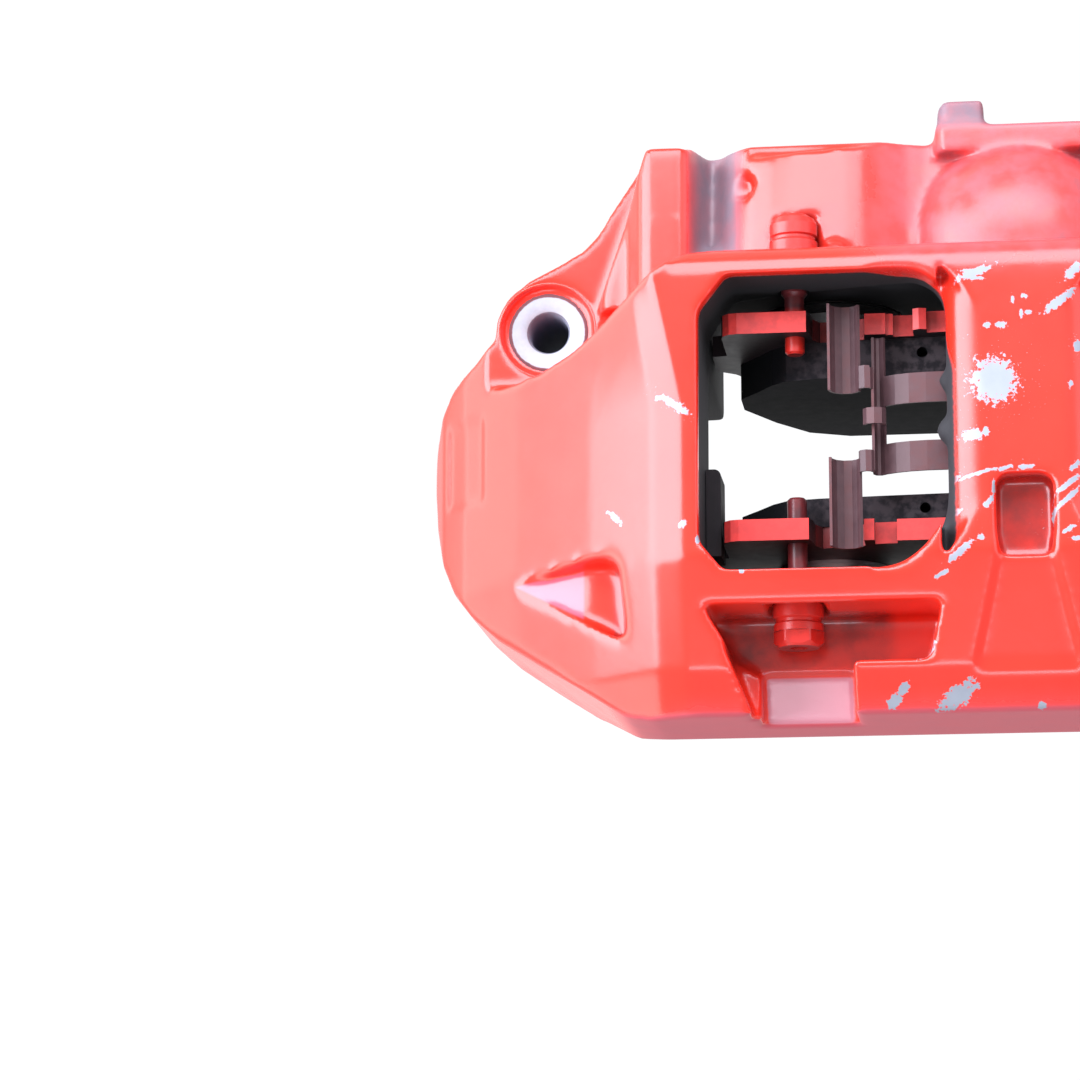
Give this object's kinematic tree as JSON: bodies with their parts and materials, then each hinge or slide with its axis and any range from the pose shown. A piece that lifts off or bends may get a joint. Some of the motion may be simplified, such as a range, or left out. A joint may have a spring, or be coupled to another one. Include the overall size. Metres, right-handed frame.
{
  "type": "brake caliper",
  "caption": "Fixed radial-mount brake caliper, one-piece painted casting with opposed pistons, pads hung on pins, a pad spring under its centre bridge and bleed screws.",
  "frame": {"origin": "midway between the two mounting bolt axes, on the plane of the mounting lugs' faces", "axes": "+X along the disc's tangent, through both mounting bolts; +Y along the disc's axle towards the vehicle (inboard); +Z radially outwards from the disc, along the mounting bolts"},
  "size_m": [0.3666, 0.1898, 0.11],
  "materials": {
    "red_paint": "semi-gloss, chipped",
    "pad_steel": "oversprayed and dirty",
    "friction": "matt",
    "piston_alloy": "hard anodised",
    "seal_rubber": "matt",
    "spring_steel": "dusty",
    "pin_steel": "oversprayed",
    "zinc_steel": "zinc plated",
    "plate_steel": "dirty"
  },
  "bodies": {
    "caliper": {"abutment_plate_left": "plate_steel", "abutment_plate_right": "plate_steel", "caliper_body": "red_paint", "gallery_plug_cross": "zinc_steel", "gallery_plug_inboard": "zinc_steel", "gallery_plug_outboard": "zinc_steel", "inboard_seal_centre": "seal_rubber", "inboard_seal_left": "seal_rubber", "inboard_seal_right": "seal_rubber", "inboard_wiper_centre": "seal_rubber", "inboard_wiper_left": "seal_rubber", "inboard_wiper_right": "seal_rubber", "outboard_seal_centre": "seal_rubber", "outboard_seal_left": "seal_rubber", "outboard_seal_right": "seal_rubber", "outboard_wiper_centre": "seal_rubber", "outboard_wiper_left": "seal_rubber", "outboard_wiper_right": "seal_rubber", "pad_pin_inboard_left": "pin_steel", "pad_pin_inboard_right": "pin_steel", "pad_pin_outboard_left": "pin_steel", "pad_pin_outboard_right": "pin_steel", "pad_spring": "spring_steel"},
    "inboard_pad": {"inboard_pad_backing_plate": "pad_steel", "inboard_pad_friction": "friction"},
    "inboard_piston_left_body": {"inboard_piston_left": "piston_alloy"},
    "inboard_piston_centre_body": {"inboard_piston_centre": "piston_alloy"},
    "inboard_piston_right_body": {"inboard_piston_right": "piston_alloy"},
    "inboard_bleeder": {"bleed_screw_inboard": "zinc_steel"},
    "inboard_bleeder_cap": {"bleed_cap_inboard": "seal_rubber"},
    "outboard_pad": {"outboard_pad_backing_plate": "pad_steel", "outboard_pad_friction": "friction"},
    "outboard_piston_left_body": {"outboard_piston_left": "piston_alloy"},
    "outboard_piston_centre_body": {"outboard_piston_centre": "piston_alloy"},
    "outboard_piston_right_body": {"outboard_piston_right": "piston_alloy"},
    "outboard_bleeder": {"bleed_screw_outboard": "zinc_steel"},
    "outboard_bleeder_cap": {"bleed_cap_outboard": "seal_rubber"}
  },
  "joints": [
    {"name": "inboard_pad_slide", "type": "slide", "parent": "caliper", "child": "inboard_pad", "axis": [0, -1, 0], "range_m": [-0.0015, 0.0075]},
    {"name": "inboard_piston_left_slide", "type": "slide", "parent": "caliper", "child": "inboard_piston_left_body", "axis": [0, -1, 0], "range_m": [-0.0015, 0.0075]},
    {"name": "inboard_piston_centre_slide", "type": "slide", "parent": "caliper", "child": "inboard_piston_centre_body", "axis": [0, -1, 0], "range_m": [-0.0015, 0.0075]},
    {"name": "inboard_piston_right_slide", "type": "slide", "parent": "caliper", "child": "inboard_piston_right_body", "axis": [0, -1, 0], "range_m": [-0.0015, 0.0075]},
    {"name": "inboard_bleeder_turn", "type": "hinge", "parent": "caliper", "child": "inboard_bleeder", "pos_m": [0.12, 0.0365, 0.048], "axis": [1, 0, 0], "range_deg": [0, 180]},
    {"name": "inboard_cap_pull", "type": "slide", "parent": "inboard_bleeder", "child": "inboard_bleeder_cap", "axis": [1, 0, 0], "range_m": [0, 0.02]},
    {"name": "outboard_pad_slide", "type": "slide", "parent": "caliper", "child": "outboard_pad", "axis": [0, 1, 0], "range_m": [-0.0015, 0.0075]},
    {"name": "outboard_piston_left_slide", "type": "slide", "parent": "caliper", "child": "outboard_piston_left_body", "axis": [0, 1, 0], "range_m": [-0.0015, 0.0075]},
    {"name": "outboard_piston_centre_slide", "type": "slide", "parent": "caliper", "child": "outboard_piston_centre_body", "axis": [0, 1, 0], "range_m": [-0.0015, 0.0075]},
    {"name": "outboard_piston_right_slide", "type": "slide", "parent": "caliper", "child": "outboard_piston_right_body", "axis": [0, 1, 0], "range_m": [-0.0015, 0.0075]},
    {"name": "outboard_bleeder_turn", "type": "hinge", "parent": "caliper", "child": "outboard_bleeder", "pos_m": [0.12, -0.1125, 0.048], "axis": [1, 0, 0], "range_deg": [0, 180]},
    {"name": "outboard_cap_pull", "type": "slide", "parent": "outboard_bleeder", "child": "outboard_bleeder_cap", "axis": [1, 0, 0], "range_m": [0, 0.02]}
  ],
  "couplings": [
    {"joint": "inboard_piston_left_slide", "follows": "inboard_pad_slide", "ratio": 1},
    {"joint": "inboard_piston_centre_slide", "follows": "inboard_pad_slide", "ratio": 1},
    {"joint": "inboard_piston_right_slide", "follows": "inboard_pad_slide", "ratio": 1},
    {"joint": "outboard_piston_left_slide", "follows": "outboard_pad_slide", "ratio": 1},
    {"joint": "outboard_piston_centre_slide", "follows": "outboard_pad_slide", "ratio": 1},
    {"joint": "outboard_piston_right_slide", "follows": "outboard_pad_slide", "ratio": 1}
  ]
}
